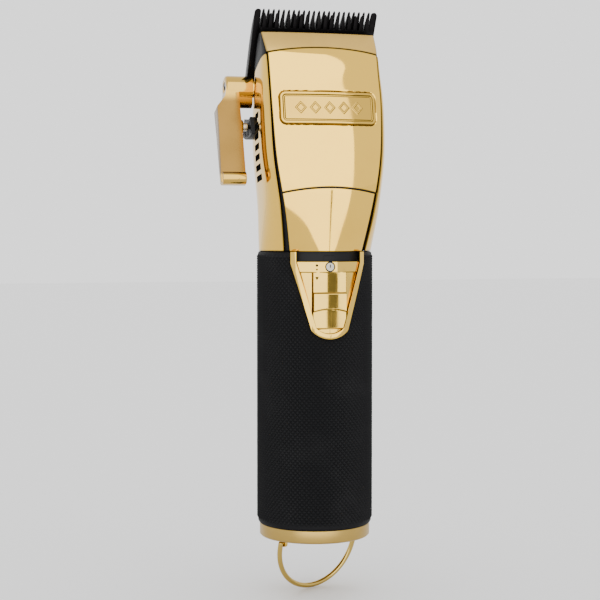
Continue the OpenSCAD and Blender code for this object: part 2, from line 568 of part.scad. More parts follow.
module moving_blade() color([0.2, 0.2, 0.21]) difference() {
    intersection() {
        blade_slab([[moving_set, slide_gap], [moving_set, slide_gap + 0.4], [moving_set + 4.5, slide_gap + moving_t],
                    [22.5, slide_gap + moving_t], [22.5, slide_gap]], -moving_half - 1, moving_half + 1);
        blade_sheet(concat([[-tail_half, 22.5], [-tail_half, 12.5], [-moving_half, 12]],
            comb(moving_half, moving_teeth, moving_set, moving_set + 5, 0.9, 2 * moving_half / moving_teeth - 0.8, 5),
            [[moving_half, 12], [tail_half, 12.5], [tail_half, 22.5]]), -1, 3);
    }
    for (s = [-1, 1]) in_blade_frame() translate([s * 6, -17, -1]) cylinder(r = 1.3, h = 4);
}
// Side rails that carry the fixed blade, joined by a bridge under its heel
rail_in = 13.6;
rail_out = 17;
module blade_bed() color(black) difference() {
    union() {
        for (s = [-1, 1]) blade_slab([[15, 0.05], [30, 0.05], [30, 3.2], [32, 4.5], [32, 11], [24, 11], [15, 4.5]],
            s > 0 ? rail_in : -rail_out, s > 0 ? rail_out : -rail_in);
        blade_slab([[28.4, 0.05], [30, 0.05], [30, 3], [28.4, 3]], -rail_in - 1, rail_in + 1);
    }
    for (s = [-1, 1]) in_blade_frame() translate([s * blade_screw_x, -blade_screw_v, -1])
        cylinder(r = 1.4, h = 7);
    at_pivot(-rail_out - 1) cylinder(r = shaft_r + run, h = rail_out - rail_in + 2);
}
// Drive yoke that hangs from the moving blade and straddles the motor's throw pin
yoke_z0 = hub_top + 1.8;
yoke_z1 = yoke_z0 + 8;
yoke_slot = throw_pin_r + 2 * stroke + 0.15;
module cutter_follower() color(black) difference() {
    union() {
        blade_slab([[14, slide_gap + moving_t + 0.02], [21, slide_gap + moving_t + 0.02], [21, 4.4], [14, 4.4]],
                   -8.5, 8.5);
        translate([-4.2, -2.2, yoke_z1 - 1]) cube([8.4, 4.4, from_blade(17, 4)[1] - yoke_z1 + 1]);
        translate([-5.6, -4.9, yoke_z0]) cube([11.2, 9.6, yoke_z1 - yoke_z0]);
        for (s = [-1, 1]) in_blade_frame() translate([s * 6, -17, 0.5]) cylinder(r = 1.2, h = 2);
    }
    translate([-yoke_slot, -throw_pin_r - stroke - 0.95, yoke_z0 - eps])
        cube([2 * yoke_slot, 2 * (throw_pin_r + stroke) + 1.1, yoke_z1 - yoke_z0 - 0.8]);
}
// Taper carriage: cross bar, guide tongues and the ear that the lever's throw pin works in
half_swing = lever_throw / 2;
pin_v = pivot_v - cam_throw * sin(half_swing);
pin_w = pivot_w + cam_throw * cos(half_swing);
cam_pin_r = 1.2;
ear_x0 = -11.8;
ear_x1 = -8.8;
module taper_carriage() color([0.85, 0.85, 0.8]) difference() {
    union() {
        blade_slab([[21.5, 2.2], [25.5, 2.2], [25.5, 5.6], [21.5, 5.6]], ear_x0, -ear_x0);
        blade_slab([[21.5, 2.2], [25, 2.2], [25, 3.2], [21.5, 3.2]], -rail_in + gap, rail_in - gap);
        blade_slab([[23.6, 5], [25.6, 2.4], [pin_v + 3, 5.5], [pin_v + 3, 11.6], [pin_v - 3, 11.6], [23.6, 9]],
                   ear_x0, ear_x1);
    }
    blade_slab([[pin_v - cam_pin_r - 0.03, pin_w - 1.8], [pin_v + cam_pin_r + 0.03, pin_w - 1.8],
                [pin_v + cam_pin_r + 0.03, pin_w + 1.8], [pin_v - cam_pin_r - 0.03, pin_w + 1.8]],
               ear_x0 - 1, ear_x1 + 1);
}
module tension_spring() color(steel) {
    blade_slab([[21.6, 5.65], [25.4, 5.65], [25.4, 6.2], [21.6, 6.2]], -8.6, 8.6);
    for (s = [-1, 1]) blade_slab([[21.7, 5.65], [21.7, 6.2], [15.2, 5.05], [15.2, 4.5]],
                                 s > 0 ? 5.9 : -8.4, s > 0 ? 8.4 : -5.9);
}

// ---------- taper lever ----------
module lever_bushing() color(satin_gold) at_pivot(-head_half_w + 0.2) difference() {
    cylinder(r = bush_r, h = head_half_w - rail_out - 0.7);
    translate([0, 0, -eps]) cylinder(r = shaft_r + run, h = 10);
}
// Ring sector about the lever's pivot, from x0 for a length, opened by g degrees
track_a0 = -lever_rest - 7;
track_a1 = lever_throw - lever_rest + 6;
module track_sector(r0, r1, x0, length, g) at_pivot(x0) difference() {
    rotate(track_a0 - g) rotate_extrude(angle = track_a1 - track_a0 + 2 * g)
        translate([r0, 0]) square([r1 - r0, length]);
}
stops = 5;
module detent_plate() color(black) difference() {
    track_sector(track_r0, track_r1, track_x, 5.4, 0);
    for (i = [0:stops - 1]) at_pivot(track_x) rotate(-lever_rest + lever_throw * i / (stops - 1))
        translate([track_r0 + 1, 0, -0.2]) rotate([0, 90, 0]) cylinder(r = 0.7, h = track_r1 - track_r0 - 2);
}
hub_in = -head_half_w + 0.1;
plunger_ring = (track_r0 + track_r1) / 2;
module at_lever() { translate([0, pivot_y, pivot_z]) rotate([-lever_rest, 0, 0]) children(); }
lobe_drop = 4.6;                      // web below the hub, between the arm and the head
lobe_r = 2.6;
module taper_lever() color(gold) difference() {
    union() {
        at_pivot(hub_end) rotate_extrude() polygon([[0, 0], [hub_r - 0.9, 0], [hub_r - 0.25, 0.3], [hub_r, 0.9],
            [hub_r, hub_in - hub_end], [0, hub_in - hub_end]]);
        at_lever() translate([arm_in - 0.5, 0, -lobe_drop]) rotate([0, 90, 0])
            cylinder(r = lobe_r, h = hub_in - arm_in + 0.3);
        at_lever() translate([arm_in - 0.5, 0.2 - lobe_r, -lobe_drop])
            cube([hub_in - arm_in + 0.1, 2 * lobe_r - 0.4, lobe_drop]);
        intersection() {
            at_lever() translate([arm_out - 1, 0, 0]) rotate([90, 0, 90]) linear_extrude(height = 12) polygon([
                [-3.6, 1.5], [-3.6, -3], [-3.3, -18], [-1.7, -lever_len + 5], [-1.6, -lever_len + 0.6],
                [1.4, -lever_len + 0.6], [2.1, -18], [3.6, -3], [3.6, 1.5]]);
            at_lever() translate([0, 8, 0]) rotate([90, 0, 0]) linear_extrude(height = 16) polygon([
                [arm_in, 1], [arm_in, -8], [arm_in + 0.8, -lever_len], [arm_out + 0.6, -lever_len],
                [arm_out, -lever_len + 1.2], [arm_out, -8], [hub_end - 0.6, -4.2], [hub_end + 0.3, 1]]);
        }
        at_lever() translate([arm_out + 0.3, -1.6, -lever_len + 2.2]) rotate([0, 90, 0])
            cylinder(r = 2.2, h = arm_in - arm_out + 0.2);
        at_lever() translate([arm_in - 1, 0, -plunger_ring]) rotate([0, 90, 0])
            cylinder(r1 = 2.9, r2 = 2.5, h = 2);
    }
    at_pivot(hub_end + 2) cylinder(r = shaft_r + 0.02, h = 12);
    at_pivot(hub_end - eps) cylinder(r = 2.2, h = 1.2);
    at_pivot(hub_end) cylinder(r = 1.2, h = 3);
    at_lever() translate([plunger_back, 0, -plunger_ring]) rotate([0, 90, 0])
        cylinder(r = plunger_stem_r + run, h = 12);
}
plunger_stem_r = 1.5;
plunger_back = arm_in - 3.6;
plunger_travel = 0.6;
module detent_plunger() color(steel) at_lever()
    translate([plunger_back + plunger_travel + 0.1, 0, -plunger_ring]) rotate([0, 90, 0]) {
        cylinder(r = plunger_stem_r, h = track_x - 1.1 - plunger_back - plunger_travel - 0.1);
        translate([0, 0, track_x - 1.1 - plunger_back - plunger_travel - 0.1]) cylinder(r1 = plunger_stem_r, r2 = 0.6, h = 1);
    }
module lever_shaft() color(steel) {
    difference() {
        at_pivot(hub_end + 2.1) cylinder(r = shaft_r, h = -rail_in + 0.1 - hub_end - 2.1);
        at_pivot(hub_end + 2) cylinder(r = 1, h = 6);
    }
    at_pivot(-rail_in + 0.08) cylinder(r = 3.6, h = 1.5);
    in_blade_frame() translate([-rail_in + 1.5, -pin_v, pin_w]) rotate([0, 90, 0])
        cylinder(r = cam_pin_r, h = ear_x1 + rail_in - 1.5);
}
module lever_screw() color(steel) difference() {
    union() {
        at_pivot(hub_end + 0.1) cylinder(r = 2.1, h = 1);
        at_pivot(hub_end + 1) cylinder(r = 0.95, h = 6);
    }
    at_pivot(hub_end) cylinder(r = 1, h = 0.6, $fn = 6);
}
module lever_washer() color(steel) at_pivot(-rail_out - 0.35) difference() {
    cylinder(r = 3.4, h = 0.3);
    translate([0, 0, -eps]) cylinder(r = shaft_r + run, h = 1);
}

end_cap();
cap_screws();
charge_socket();
bail_lugs();
hanging_bail();
base_seal();
grip_sleeve();
grip_core();
battery_cell();
battery_plates();
battery_tabs();
circuit_board();
slide_switch();
status_led();
switch_bezel();
power_slider();
status_lens();
motor_can();
motor_stator();
motor_bearings();
motor_rotor();
eccentric();
motor_bracket();
bracket_screws();
motor_leads();
rear_housing();
neck_plate();
front_plate();
name_plate();
housing_screws();
nose_band();
cheeks();
heel_plate();
blade_bed();
fixed_blade();
blade_screws();
moving_blade();
cutter_follower();
taper_carriage();
tension_spring();
lever_bushing();
detent_plate();
taper_lever();
lever_shaft();
lever_screw();
detent_plunger();
lever_washer();
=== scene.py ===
"""Looks of a cordless hair clipper: polished gold head, black knurled grip, steel comb blades, built round its CAD
frame. Metres, +Z up towards the teeth, -Y to the front."""

import json
import math

import bpy
import numpy as np
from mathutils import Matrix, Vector

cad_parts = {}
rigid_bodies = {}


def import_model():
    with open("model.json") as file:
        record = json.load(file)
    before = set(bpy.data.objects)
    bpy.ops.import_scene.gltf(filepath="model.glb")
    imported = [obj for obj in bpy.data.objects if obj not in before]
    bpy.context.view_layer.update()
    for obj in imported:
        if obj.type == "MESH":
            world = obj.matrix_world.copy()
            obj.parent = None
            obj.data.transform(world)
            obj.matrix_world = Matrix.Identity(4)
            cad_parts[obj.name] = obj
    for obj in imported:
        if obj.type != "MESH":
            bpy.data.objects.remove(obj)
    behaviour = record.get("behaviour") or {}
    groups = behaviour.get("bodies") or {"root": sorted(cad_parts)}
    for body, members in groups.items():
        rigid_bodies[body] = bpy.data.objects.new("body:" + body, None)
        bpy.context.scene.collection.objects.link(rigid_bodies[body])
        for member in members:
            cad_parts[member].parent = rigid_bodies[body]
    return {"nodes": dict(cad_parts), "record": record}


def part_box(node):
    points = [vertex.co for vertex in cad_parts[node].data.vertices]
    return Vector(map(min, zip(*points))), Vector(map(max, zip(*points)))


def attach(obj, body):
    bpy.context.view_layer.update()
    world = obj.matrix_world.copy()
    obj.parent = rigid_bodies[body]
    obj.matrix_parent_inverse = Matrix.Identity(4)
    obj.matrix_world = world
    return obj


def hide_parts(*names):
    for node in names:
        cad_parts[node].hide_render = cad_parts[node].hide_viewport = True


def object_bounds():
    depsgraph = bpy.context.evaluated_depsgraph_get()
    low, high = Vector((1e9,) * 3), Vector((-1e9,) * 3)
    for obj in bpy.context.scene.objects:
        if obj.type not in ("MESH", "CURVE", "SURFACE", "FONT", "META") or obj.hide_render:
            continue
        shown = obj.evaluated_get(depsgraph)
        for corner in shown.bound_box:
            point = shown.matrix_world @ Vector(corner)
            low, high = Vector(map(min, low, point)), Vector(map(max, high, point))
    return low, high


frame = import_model()
cad_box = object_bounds()
NODES = frame["nodes"]
MM = 0.001

# ---------- driving sizes, read from the frame ----------
GRIP_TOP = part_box("rear_housing")[0].z
CAP_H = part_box("grip_sleeve")[0].z
GRIP_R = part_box("grip_sleeve")[1].x
TIP_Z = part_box("fixed_blade")[1].z
HEAD_HALF_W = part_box("rear_housing")[1].x
HEAD_FRONT = 22.4 * MM
HEAD_BACK = 19.7 * MM
NECK_R = GRIP_R - 0.8 * MM
SHELL_H = TIP_Z - 15 * MM - GRIP_TOP
PLATE_TOP = GRIP_TOP + SHELL_H + 0.9 * MM
LIP_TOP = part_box("nose_band")[1].z
ARCH = 2.2 * MM
CREASE = GRIP_TOP + 22.2 * MM
CREASE_DROP = 3 * MM
BLADE_LEAN = math.radians(31)
TIP_Y = -3.2 * MM
HEEL_Z = TIP_Z - 33 * MM * math.cos(BLADE_LEAN)
BADGE_Z = GRIP_TOP + 49.1 * MM
BADGE_HALF = (17 * MM, 5.7 * MM)
BADGE_ROUND = 2.2 * MM
PLATE_WALL = 1.2 * MM
LENS_DOWN = 5.2 * MM
LENS_R = 1.4 * MM
PRINT_THICK = 0.06 * MM
PRINT_PROUD = 0.04 * MM


# ---------- the head's skin ----------
def smooth_curve(at, values):
    """A natural cubic through the stations, as a function of the station's place."""
    x, y = np.array(at, float), np.array(values, float)
    n, h = len(x), np.diff(x)
    a, r = np.eye(n), np.zeros(n)
    for i in range(1, n - 1):
        a[i, i - 1:i + 2] = h[i - 1], 2 * (h[i - 1] + h[i]), h[i]
        r[i] = 3 * ((y[i + 1] - y[i]) / h[i] - (y[i] - y[i - 1]) / h[i - 1])
    c = np.linalg.solve(a, r)

    def value(q):
        q = np.asarray(q, float)
        i = np.clip(np.searchsorted(x, q) - 1, 0, n - 2)
        d, t = h[i], q - x[i]
        b = (y[i + 1] - y[i]) / d - d * (2 * c[i] + c[i + 1]) / 3
        return y[i] + t * (b + t * (c[i] + t * (c[i + 1] - c[i]) / (3 * d)))

    return value


STATION = [0, 0.1, 0.2, 0.3, 0.46, 0.63, 0.79, 0.9, 1, 1.11]
widening = smooth_curve(STATION, [0, 0.13, 0.26, 0.43, 0.87, 1, 0.87, 0.65, 0.5, 0.4])
front_bulge = smooth_curve(STATION, [0, 0.4, 0.76, 1, 0.84, 0.33, -0.72, -1.8, -2.96, -6])
widest_y = smooth_curve(STATION, [0, -1, -2.2, -3, -4, -4, -3.5, -2, -1, -1])
front_square = smooth_curve(STATION, [2, 2.6, 3.3, 3.8, 4, 4, 4.2, 4.6, 5, 5])
rear_square = smooth_curve(STATION, [2, 2.1, 2.2, 2.4, 2.6, 2.6, 2.6, 2.6, 2.6, 2.6])
seam_share = smooth_curve(STATION, [0.709, 0.752, 0.795, 0.836, 0.868, 0.885, 0.905, 0.925, 0.943, 0.95])


def up_head(z):
    return (np.asarray(z, float) - GRIP_TOP) / SHELL_H


def half_width(z):
    return NECK_R + (HEAD_HALF_W - NECK_R) * widening(up_head(z))


def front_face(z):
    return -NECK_R - (HEAD_FRONT - NECK_R) * front_bulge(up_head(z))


def back_face(z):
    return NECK_R + (HEAD_BACK - NECK_R) * np.clip(up_head(z) * 3, 0, 1)


def middle(z):
    return widest_y(up_head(z)) * MM


def front_depth(x, z, inset=0.0):
    """Y of the front of the head at a width and a height."""
    n, w, m = front_square(up_head(z)), half_width(z) - inset, middle(z)
    share, at_seam = np.clip(np.abs(x) / w, 0, 0.9999), seam_share(up_head(z))
    squared = (1 - share ** n) ** (1 / n)
    crowned = 1 - (1 - (1 - at_seam ** n) ** (1 / n)) * (share / at_seam) ** 2
    profile = np.where(share < at_seam, 0.38 * squared + 0.62 * crowned, squared)
    return m - (m - front_face(z) - inset) * profile


def seam_half(z, opened=0.0):
    """Half width of the seam between the front plates and the rear housing."""
    return seam_share(up_head(z)) * half_width(z) - opened


def seam_gap(z):
    return (0.8 * (1 - np.clip(up_head(z) / 0.75, 0, 1)) + 0.34) * MM


def under_blade(y, w):
    return TIP_Z - (y - TIP_Y) / math.tan(BLADE_LEAN) - w / math.sin(BLADE_LEAN)


def housing_edge(y):
    """Height of the rear housing's upper edge at a depth."""
    u = np.maximum(0, np.asarray(y) / MM + 9.7)
    falling = PLATE_TOP - ARCH - (0.36 * u + 0.006 * u * u) * MM
    return np.minimum(falling, np.maximum(under_blade(y, 2.2 * MM), HEEL_Z - 0.8 * MM))


def plate_edge(x):
    return PLATE_TOP - ARCH * (x / half_width(PLATE_TOP)) ** 2


def crease(x):
    return CREASE - CREASE_DROP * (x / half_width(CREASE)) ** 2


# ---------- shader writing ----------
class Wire:
    """A value in a material. Python's operators on it add the Math nodes."""

    def __init__(self, sheet, socket):
        self.sheet, self.socket = sheet, socket

    def _math(self, operation, *values):
        return self.sheet.node("ShaderNodeMath", {"operation": operation}, *values)

    def __add__(self, other): return self._math("ADD", self, other)
    def __radd__(self, other): return self._math("ADD", other, self)
    def __sub__(self, other): return self._math("SUBTRACT", self, other)
    def __rsub__(self, other): return self._math("SUBTRACT", other, self)
    def __mul__(self, other): return self._math("MULTIPLY", self, other)
    def __rmul__(self, other): return self._math("MULTIPLY", other, self)


class Sheet:
    """One material's nodes round a Principled shader, whose plain numbers are set here."""

    def __init__(self, name, **constants):
        self.material = bpy.data.materials.new(name)
        self.material.use_nodes = True
        self.nodes = self.material.node_tree.nodes
        self.links = self.material.node_tree.links
        self.shader = self.nodes["Principled BSDF"]
        for key, value in constants.items():
            socket = self.shader.inputs[key.replace("_", " ")]
            socket.default_value = (*value, 1) if isinstance(value, tuple) else value

    def node(self, kind, settings, *values, out=0, **named):
        """Adds a node: its settings first, then a value or a link for each input, by place or by name."""
        made = self.nodes.new(kind)
        for key, value in settings.items():
            setattr(made, key, value)
        for key, value in [*enumerate(values), *((k.replace("_", " "), v) for k, v in named.items())]:
            socket = made.inputs[key]
            if isinstance(value, Wire):
                self.links.new(value.socket, socket)
            else:
                socket.default_value = value
        return Wire(self, made.outputs[out])

    def place(self):
        return self.node("ShaderNodeTexCoord", {}, out="Object")

    def height(self):
        return self.node("ShaderNodeSeparateXYZ", {}, self.place(), out="Z")

    def noise(self, scale, detail=4.0, stretch=None):
        spot = self.place()
        if stretch:
            spot = self.node("ShaderNodeMapping", {}, spot, Scale=stretch)
        return self.node("ShaderNodeTexNoise", {}, Vector=spot, Scale=scale, Detail=detail)

    def ramp(self, value, low, high):
        """0 below low, 1 above high, eased between."""
        return self.node("ShaderNodeMapRange", {"interpolation_type": "SMOOTHSTEP"}, value, low, high, 0.0, 1.0)

    def blend(self, mask, first, second):
        mixed = self.nodes.new("ShaderNodeMix")
        mixed.data_type = "RGBA"
        for index, value in ((0, mask), (6, first), (7, second)):
            if isinstance(value, Wire):
                self.links.new(value.socket, mixed.inputs[index])
            else:
                mixed.inputs[index].default_value = (*value, 1) if isinstance(value, tuple) else value
        return Wire(self, mixed.outputs[2])

    def feed(self, socket, wire):
        self.links.new(wire.socket, self.shader.inputs[socket])
        return self

    def bump(self, height, distance, strength=1.0):
        return self.feed("Normal", self.node("ShaderNodeBump", {}, Height=height, Distance=distance,
                                             Strength=strength))


def polished(name, colour, tarnish, gloss=0.05, smudge=0.05, waves=0.00002):
    """Plated metal polished to a mirror: hazy finger smudges, hairlines, a faint waviness, and painted shade from a
    per-point attribute that darkens grooves, steps and seam walls.
    """
    s = Sheet(name, Metallic=1.0)
    cloud = s.ramp(s.noise(90, 5), 0.45, 0.75)
    hairline = s.ramp(s.noise(900, 3, (1.0, 1.0, 0.04)), 0.62, 0.78)
    # painted shade: where the attribute is set, the colour darkens towards a dark gold, standing in for shade and
    # dark reflections in grooves, steps and seam walls
    painted_shade = s.node("ShaderNodeAttribute", {"attribute_name": "painted_shade"}, out="Fac")
    dark = tuple(0.16 * c for c in tarnish)
    s.feed("Base Color", s.blend(painted_shade, s.blend(cloud * 0.5, colour, tarnish), dark))
    s.feed("Roughness", gloss + cloud * smudge + hairline * 0.03 + painted_shade * 0.2)
    return s.bump(s.noise(70, 1), waves).material


def satin(name, colour, tarnish, rough=0.34, grain=(1.0, 1.0, 0.05)):
    """Plated metal with a fine brushed or blasted satin, and painted shade from a per-point attribute that darkens
    grooves and seam walls.
    """
    s = Sheet(name, Metallic=1.0)
    brushed = s.noise(2600, 2, grain)
    cloud = s.noise(110, 5)
    # painted shade: where the attribute is set, the colour darkens towards a dark gold, standing in for shade and
    # dark reflections in grooves and seam walls
    painted_shade = s.node("ShaderNodeAttribute", {"attribute_name": "painted_shade"}, out="Fac")
    clean = s.blend(s.ramp(cloud, 0.4, 0.8) * 0.6, colour, tarnish)
    s.feed("Base Color", s.blend(painted_shade, clean, tuple(0.16 * c for c in tarnish)))
    s.feed("Roughness", rough + brushed * 0.1 + cloud * 0.06)
    return s.bump(brushed, 0.00002, 0.35).material


def moulded(name, colour, worn, rough=0.5, grain=1400, specular=0.12):
    """Moulded plastic or rubber with a fine grain and paler rubbed patches."""
    s = Sheet(name, Specular_IOR_Level=specular)
    rubbed = s.ramp(s.noise(60, 6), 0.5, 0.8)
    fine = s.noise(grain, 3)
    s.feed("Base Color", s.blend(rubbed * 0.7, colour, worn))
    s.feed("Roughness", rough + fine * 0.12 - rubbed * 0.08)
    return s.bump(fine, 0.00005, 0.5).material


def coated_steel(name, colour, bare, rough=0.36, metallic=0.85, specular=0.5):
    """Dark coated steel, ground along one way, with the coat thin on high spots."""
    s = Sheet(name, Metallic=metallic, Specular_IOR_Level=specular)
    ground = s.noise(3000, 2, (0.05, 1.0, 1.0))
    thin = s.ramp(s.noise(160, 6), 0.55, 0.8)
    s.feed("Base Color", s.blend(thin * 0.6, colour, bare))
    s.feed("Roughness", rough + ground * 0.14 + thin * 0.05)
    return s.bump(ground, 0.00002, 0.4).material


def brushed_face_with_painted_shade(name, colour, bronze, box):
    """The lever's finish: gold at the hub and the rolled foot, a brushed bronze on the flat between, painted darker
    there as painted shade for the dark that the flat reflects.
    """
    s = Sheet(name, Metallic=1.0)
    low, high = box
    height = s.height()
    face = s.ramp(height, low.z + 0.0034, low.z + 0.0044) * (1 - s.ramp(height, high.z - 0.0095, high.z - 0.006))
    cloud = s.ramp(s.noise(90, 5), 0.45, 0.75)
    brushed = s.noise(2200, 2, (1.0, 1.0, 0.05))
    # painted shade: the flat's darker bronze colour stands in for the dark reflection on it; the brushing in
    # roughness and bump is the finish itself
    s.feed("Base Color", s.blend(face, colour, s.blend(cloud * 0.6, bronze, tuple(0.85 * c for c in bronze))))
    s.feed("Roughness", 0.08 + face * 0.12 + cloud * 0.05 + brushed * face * 0.06)
    return s.bump(brushed * face, 0.00001, 0.3).material


GOLD = (0.80, 0.495, 0.075)
FINISHES = {
    "gold_polished": polished("gold_polished", GOLD, (0.75, 0.45, 0.066)),
    "gold_badge": polished("gold_badge", (0.60, 0.37, 0.06), (0.54, 0.32, 0.05), 0.07),
    "gold_bright": polished("gold_bright", (0.68, 0.44, 0.08), (0.62, 0.39, 0.07), 0.06),
    "gold_slider": polished("gold_slider", (0.66, 0.43, 0.08), (0.58, 0.37, 0.07), 0.02, 0.02, 0.000005),
    "gold_lever": brushed_face_with_painted_shade("gold_lever", (0.52, 0.32, 0.06), (0.20, 0.112, 0.026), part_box("taper_lever")),
    "gold_wire": polished("gold_wire", (0.46, 0.32, 0.08), (0.38, 0.26, 0.06), 0.1),
    "gold_satin": satin("gold_satin", (0.60, 0.385, 0.095), (0.52, 0.33, 0.08)),
    "satin_gold_cap": satin("satin_gold_cap", (0.40, 0.265, 0.07), (0.34, 0.22, 0.058), 0.28, (1.0, 1.0, 6.0)),
    "grip_rubber": moulded("grip_rubber", (0.005, 0.005, 0.0055), (0.009, 0.009, 0.0095), 0.5, specular=0.07),
    "seal_rubber": moulded("seal_rubber", (0.006, 0.006, 0.006), (0.014, 0.014, 0.014), 0.6),
    "black_plastic": moulded("black_plastic", (0.005, 0.005, 0.0055), (0.010, 0.010, 0.0105), 0.36),
    "carriage_white": moulded("carriage_white", (0.45, 0.45, 0.40), (0.36, 0.35, 0.31), 0.45),
    "cell_wrap": moulded("cell_wrap", (0.04, 0.12, 0.28), (0.07, 0.15, 0.29), 0.28),
    "board_green": moulded("board_green", (0.01, 0.10, 0.04), (0.02, 0.13, 0.05), 0.35),
    "lead_red": moulded("lead_red", (0.28, 0.015, 0.012), (0.33, 0.04, 0.03), 0.4),
    "lens_white": moulded("lens_white", (0.42, 0.40, 0.34), (0.34, 0.32, 0.27), 0.2),
    "blade_black": coated_steel("blade_black", (0.007, 0.0062, 0.0066), (0.018, 0.017, 0.0165), specular=0.1),
    "dark_screw": coated_steel("dark_screw", (0.07, 0.068, 0.066), (0.16, 0.15, 0.14), 0.22),
    "nickel": coated_steel("nickel", (0.38, 0.37, 0.35), (0.48, 0.47, 0.44), 0.22, 1.0),
    "motor_zinc": coated_steel("motor_zinc", (0.35, 0.35, 0.36), (0.44, 0.44, 0.44), 0.3, 1.0),
    "motor_magnet": coated_steel("motor_magnet", (0.05, 0.05, 0.055), (0.09, 0.09, 0.09), 0.5, 0.6),
    "bearing_bronze": satin("bearing_bronze", (0.42, 0.24, 0.08), (0.34, 0.18, 0.06)),
    "rotor_steel": coated_steel("rotor_steel", (0.28, 0.28, 0.29), (0.38, 0.38, 0.38), 0.28, 1.0),
}
INK = moulded("black_ink", (0.004, 0.004, 0.004), (0.009, 0.009, 0.009), 0.55, specular=0.0)
SLOT_OF = {part["node"]: part["material_slot"] for part in frame["record"]["subparts"]}


# ---------- modelling ----------
def rest_hands():
    if bpy.context.object and bpy.context.object.mode != "OBJECT":
        bpy.ops.object.mode_set(mode="OBJECT")
    bpy.ops.object.select_all(action="DESELECT")


def take(piece):
    rest_hands()
    piece.select_set(True)
    bpy.context.view_layer.objects.active = piece


def modify(piece, kind, **settings):
    take(piece)
    tool = piece.modifiers.new(kind.lower(), kind)
    for key, value in settings.items():
        setattr(tool, key, value)
    bpy.ops.object.modifier_apply(modifier=tool.name)


def shade(piece, angle=35):
    take(piece)
    bpy.ops.object.shade_smooth_by_angle(angle=math.radians(angle))


def choose_faces(piece, wanted):
    """Leaves a piece in edit mode with only the faces selected that wanted(face) picks."""
    take(piece)
    bpy.ops.object.mode_set(mode="EDIT")
    bpy.ops.mesh.select_mode(type="FACE")
    bpy.ops.mesh.select_all(action="DESELECT")
    bpy.ops.object.mode_set(mode="OBJECT")
    piece.data.polygons.foreach_set("select", [bool(wanted(face)) for face in piece.data.polygons])
    bpy.ops.object.mode_set(mode="EDIT")


def hand_over(piece, name, material, body, *nodes, slot=None):
    """Names a finished piece, gives it its finish, and puts it on its body in place of the CAD nodes it
    stands for."""
    piece.name = piece.data.name = name
    piece.data.materials.clear()
    piece.data.materials.append(material)
    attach(piece, body)
    if nodes:
        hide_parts(*nodes)
    return piece


def sheet_of(columns, rows, place):
    """A flat grid whose points are laid on a surface: place(u, v) gives x, y, z for u and v from 0 to 1."""
    rest_hands()
    bpy.ops.mesh.primitive_grid_add(x_subdivisions=columns, y_subdivisions=rows, size=2)
    piece = bpy.context.object
    flat = np.zeros(len(piece.data.vertices) * 3)
    piece.data.vertices.foreach_get("co", flat)
    u, v = (flat.reshape(-1, 3)[:, :2].T + 1) / 2
    laid = np.stack(place(u, v), 1)
    piece.data.vertices.foreach_set("co", laid.ravel())
    piece.data.update()
    return piece


def face_outwards(piece):
    """Turns an open sheet round the head so that its faces look away from the grip's axis."""
    middle_face = piece.data.polygons[len(piece.data.polygons) // 2]
    if middle_face.normal.dot(Vector((middle_face.center.x, middle_face.center.y, 0))) < 0:
        take(piece)
        bpy.ops.object.mode_set(mode="EDIT")
        bpy.ops.mesh.select_all(action="SELECT")
        bpy.ops.mesh.flip_normals()
        bpy.ops.object.mode_set(mode="OBJECT")


def press(piece, depth):
    """Moves each point inwards along its normal by depth(x, z)."""
    count = len(piece.data.vertices)
    spots, normals = np.zeros(count * 3), np.zeros(count * 3)
    piece.data.vertices.foreach_get("co", spots)
    piece.data.vertices.foreach_get("normal", normals)
    spots, normals = spots.reshape(-1, 3), normals.reshape(-1, 3)
    spots = spots - normals * depth(spots[:, 0], spots[:, 2])[:, None]
    piece.data.vertices.foreach_set("co", spots.ravel())
    piece.data.update()


def note_painted_shade(piece, amount):
    """Stores how much painted shade each point gets, for the dark painted into grooves and steps. amount(x, z) is 0
    to 1.
    """
    spots = np.zeros(len(piece.data.vertices) * 3)
    piece.data.vertices.foreach_get("co", spots)
    spots = spots.reshape(-1, 3)
    noted = piece.data.attributes.new("painted_shade", "FLOAT", "POINT")
    noted.data.foreach_set("value", np.clip(amount(spots[:, 0], spots[:, 2]), 0, 1))


def paint_rim_shade(piece):
    """Gives the open edges of a sheet full painted shade, so the walls of a seam are painted dark as if in shade."""
    uses = np.zeros(len(piece.data.loops), int)
    ends = np.zeros(len(piece.data.edges) * 2, int)
    piece.data.loops.foreach_get("edge_index", uses)
    piece.data.edges.foreach_get("vertices", ends)
    rim = ends.reshape(-1, 2)[np.bincount(uses, minlength=len(ends) // 2) == 1].ravel()
    noted = piece.data.attributes.get("painted_shade") or piece.data.attributes.new("painted_shade", "FLOAT", "POINT")
    amount = np.zeros(len(piece.data.vertices))
    noted.data.foreach_get("value", amount)
    amount[rim] = 1
    noted.data.foreach_set("value", amount)


def thicken(piece, wall, edge, segments=3):
    modify(piece, "SOLIDIFY", thickness=wall, offset=-1)
    modify(piece, "BEVEL", width=edge, segments=segments, limit_method="ANGLE", angle_limit=math.radians(50))
    shade(piece, 40)


def front_sheet(columns, rows, half, low, high, inset=lambda z: 0.0):
    """A sheet over the front of the head, out to half(z) each side, between two edges given as functions of x."""
    def place(u, v):
        z = low(0 * u) + (high(0 * u) - low(0 * u)) * v
        for _ in range(3):
            x = (2 * u - 1) * half(z)
            z = low(x) + (high(x) - low(x)) * v
        return x, front_depth(x, z, inset(z)), z
    piece = sheet_of(columns, rows, place)
    face_outwards(piece)
    return piece


def inside_badge(x, z, half, round_):
    """Distance inwards from the edge of a rounded oblong on the badge's centre."""
    qx = np.abs(x) - (half[0] - round_)
    qz = np.abs(z - BADGE_Z) - (half[1] - round_)
    outside = np.hypot(np.maximum(qx, 0), np.maximum(qz, 0))
    return round_ - outside - np.minimum(np.maximum(qx, qz), 0)


